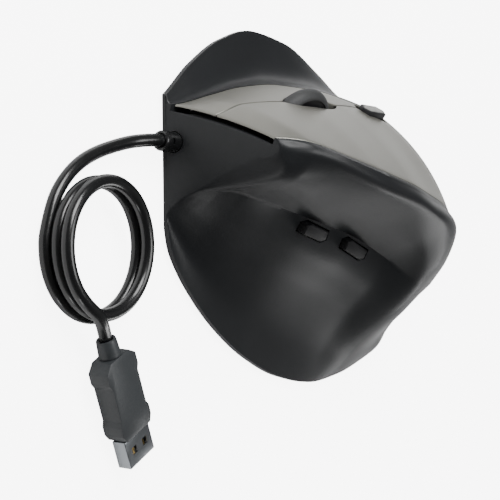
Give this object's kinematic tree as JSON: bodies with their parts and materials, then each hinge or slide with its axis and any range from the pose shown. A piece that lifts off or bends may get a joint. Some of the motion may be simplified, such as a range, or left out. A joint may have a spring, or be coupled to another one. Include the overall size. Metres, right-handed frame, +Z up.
{
  "type": "computer mouse",
  "caption": "Upright right-handed wired computer mouse with wide resting wings, sloping grey buttons, scroll wheel, two thumb buttons and a coiled cord with a plug.",
  "frame": {"origin": "on the desk under the middle of the body, cord and plug left out", "axes": "+Y towards the cable end, +X towards the little finger, +Z up"},
  "size_m": [0.1306, 0.1724, 0.0515],
  "materials": {
    "housing": "satin",
    "inner": "matte",
    "paint": "satin",
    "rubber": "matte",
    "board": "satin",
    "chip": "matte",
    "steel": "satin",
    "clear": "gloss",
    "glide": "satin",
    "cord": "gloss",
    "plug": "satin",
    "gold": "gloss"
  },
  "bodies": {
    "base": {"back_switch": "chip", "ballast_plate": "steel", "base_plate": "inner", "board_bracket": "inner", "board_post_1": "inner", "board_post_2": "inner", "board_post_3": "inner", "board_post_4": "inner", "button_board": "board", "cable_socket": "clear", "case_screw_1": "steel", "case_screw_2": "steel", "case_screw_3": "steel", "case_screw_4": "steel", "controller_chip": "chip", "dpi_board": "board", "dpi_switch": "chip", "encoder": "clear", "forward_switch": "chip", "glide_foot_1": "glide", "glide_foot_2": "glide", "glide_foot_3": "glide", "glide_foot_4": "glide", "glide_foot_5": "glide", "left_plunger": "clear", "left_switch": "chip", "main_board": "board", "main_housing": "housing", "middle_plunger": "clear", "middle_switch": "chip", "palm_cover": "paint", "plug_contact_1": "gold", "plug_contact_2": "gold", "plug_contact_3": "gold", "plug_contact_4": "gold", "plug_neck": "plug", "plug_overmould": "plug", "plug_shell": "steel", "plug_tongue": "inner", "right_plunger": "clear", "right_switch": "chip", "sensor_chip": "chip", "sensor_lens": "clear", "strain_relief": "cord", "thumb_board": "board", "usb_cord": "cord", "usb_cord_coil": "cord", "usb_cord_tail": "cord", "wheel_spring": "steel"},
    "left_button": {"left_button": "paint", "left_button_post": "paint"},
    "right_button": {"right_button": "paint", "right_button_post": "paint"},
    "wheel_carrier": {"wheel_carrier": "inner"},
    "wheel": {"wheel_tyre": "rubber", "wheel_hub": "inner", "wheel_axle": "steel"},
    "dpi_button": {"dpi_button": "inner"},
    "forward_button": {"forward_button": "inner"},
    "back_button": {"back_button": "inner"}
  },
  "joints": [
    {"name": "left_click", "type": "hinge", "parent": "base", "child": "left_button", "pos_m": [0.0234, -0.006, 0.0312], "axis": [-0.5736, 0, 0.8192], "range_deg": [0, 1], "stiffness_Nm_per_rad": 1.5, "springref_deg": -1.15},
    {"name": "right_click", "type": "hinge", "parent": "base", "child": "right_button", "pos_m": [0.0324, -0.006, 0.0167], "axis": [-0.5736, 0, 0.8192], "range_deg": [0, 1], "stiffness_Nm_per_rad": 1.5, "springref_deg": -1.15},
    {"name": "wheel_press", "type": "slide", "parent": "base", "child": "wheel_carrier", "axis": [-0.8192, 0, -0.5736], "range_m": [0, 0.0006], "stiffness_N_per_m": 900, "springref_m": -0.0008},
    {"name": "wheel_spin", "type": "hinge", "parent": "wheel_carrier", "child": "wheel", "pos_m": [0.02398, 0.0182, 0.01887], "axis": [0.5736, 0, -0.8192], "continuous": true},
    {"name": "dpi_press", "type": "slide", "parent": "base", "child": "dpi_button", "axis": [-0.8276, 0, -0.5613], "range_m": [0, 0.0006], "stiffness_N_per_m": 600, "springref_m": -0.0008},
    {"name": "forward_press", "type": "slide", "parent": "base", "child": "forward_button", "axis": [0.4851, 0, -0.8744], "range_m": [0, 0.0006], "stiffness_N_per_m": 600, "springref_m": -0.0008},
    {"name": "back_press", "type": "slide", "parent": "base", "child": "back_button", "axis": [0.4361, 0, -0.8999], "range_m": [0, 0.0006], "stiffness_N_per_m": 600, "springref_m": -0.0008}
  ]
}
